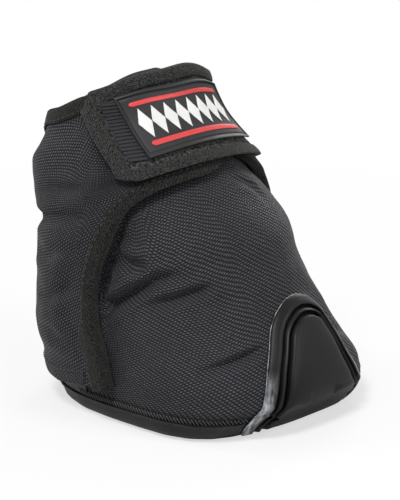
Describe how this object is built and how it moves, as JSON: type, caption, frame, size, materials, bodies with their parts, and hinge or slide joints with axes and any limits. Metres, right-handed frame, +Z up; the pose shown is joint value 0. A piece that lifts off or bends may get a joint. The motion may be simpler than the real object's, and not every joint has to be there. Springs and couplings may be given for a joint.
{
  "type": "horse hoof boot",
  "caption": "Low horse hoof boot: padded fabric upper on a treaded rubber sole, moulded rubber toe guard, folding side wings and one wide wrap-over strap with a badge plate.",
  "frame": {"origin": "on the ground under the middle of the sole, at the middle of the flat land of the tread", "axes": "+Z up, toe towards -Y, heel towards +Y, the strap's free end on the -X side and its root on the +X side"},
  "size_m": [0.1328, 0.151, 0.1507],
  "materials": {
    "sole_rubber": "smooth moulded rubber, slightly glossy",
    "guard_rubber": "satin moulded rubber",
    "badge_rubber": "soft moulded rubber plate, satin",
    "upper_fabric": "heavy basket weave nylon, charcoal",
    "binding_tape": "black woven binding tape with stitch lines",
    "strap_felt": "dark brushed loop fabric",
    "lining_foam": "foam backed knit lining",
    "webbing": "ribbed nylon webbing",
    "hook_tape": "moulded hook tape",
    "sole_board": "stiff fibre board"
  },
  "bodies": {
    "boot": {"outsole": "sole_rubber", "sole_rand": "sole_rubber", "midsole_board": "sole_board", "footbed": "lining_foam", "vamp_shell": "upper_fabric", "vamp_lining": "lining_foam", "vamp_top_binding": "binding_tape", "toe_guard": "guard_rubber", "heel_shell": "upper_fabric", "heel_lining": "lining_foam", "heel_padding": "lining_foam", "heel_collar_binding": "binding_tape", "heel_hem_binding": "binding_tape"},
    "near_wing": {"near_wing_shell": "upper_fabric", "near_wing_lining": "lining_foam", "near_wing_binding": "binding_tape", "loop_patch": "strap_felt"},
    "far_wing": {"far_wing_shell": "upper_fabric", "far_wing_lining": "lining_foam", "far_wing_binding": "binding_tape", "strap_anchor": "strap_felt"},
    "strap": {"strap_band": "strap_felt", "strap_binding": "binding_tape", "strap_webbing": "webbing", "badge_plate": "badge_rubber", "hook_patch": "hook_tape"}
  },
  "joints": [
    {"name": "near_wing_fold", "type": "hinge", "parent": "boot", "child": "near_wing", "pos_m": [-0.05827, 0.03173, 0.07595], "axis": [-0.2426, -0.2294, -0.9426], "range_deg": [0, 30]},
    {"name": "far_wing_fold", "type": "hinge", "parent": "boot", "child": "far_wing", "pos_m": [0.05827, 0.03173, 0.07595], "axis": [-0.2426, 0.2294, 0.9426], "range_deg": [0, 30]},
    {"name": "strap_peel", "type": "hinge", "parent": "far_wing", "child": "strap", "pos_m": [0.034, 0.01241, 0.12633], "axis": [-0.2629, 0.4595, 0.8484], "range_deg": [0, 120]}
  ],
  "couplings": [
    {"joint": "near_wing_fold", "follows": "strap_peel", "ratio": 0.25},
    {"joint": "far_wing_fold", "follows": "strap_peel", "ratio": 0.25}
  ]
}
